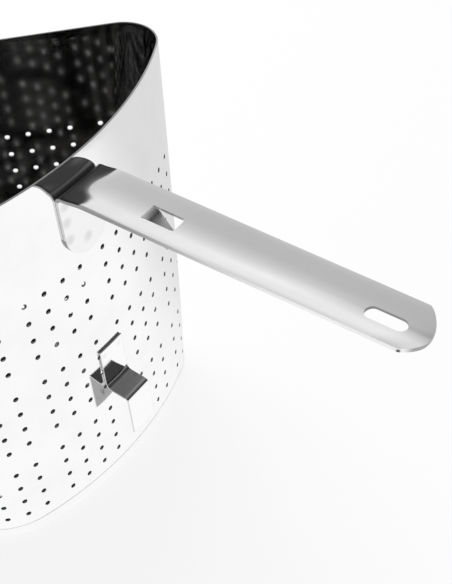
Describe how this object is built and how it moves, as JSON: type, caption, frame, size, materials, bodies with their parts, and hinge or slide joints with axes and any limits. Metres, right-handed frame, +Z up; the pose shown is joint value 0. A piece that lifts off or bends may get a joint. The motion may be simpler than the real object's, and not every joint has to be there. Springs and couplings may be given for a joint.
{
  "type": "pasta basket",
  "caption": "Segment-shaped perforated steel basket that cooks pasta in a shared round pot, with a strap handle and a hook to drain it.",
  "frame": {"origin": "on the underside of the base, on the basket's plane of symmetry, 60 mm behind the crown of the curved front", "axes": "+Z up, -Y along the handle, +Y towards the pointed corner of the segment, +X to one side of the symmetric basket"},
  "size_m": [0.18, 0.2817, 0.1934],
  "materials": {
    "wall_steel": "polished stainless sheet",
    "base_steel": "polished stainless sheet",
    "handle_steel": "satin stainless strip",
    "hook_steel": "polished stainless strip"
  },
  "bodies": {
    "root": {"basket_wall": "wall_steel", "base_pan": "base_steel", "handle": "handle_steel", "drain_hook": "hook_steel"}
  },
  "joints": []
}
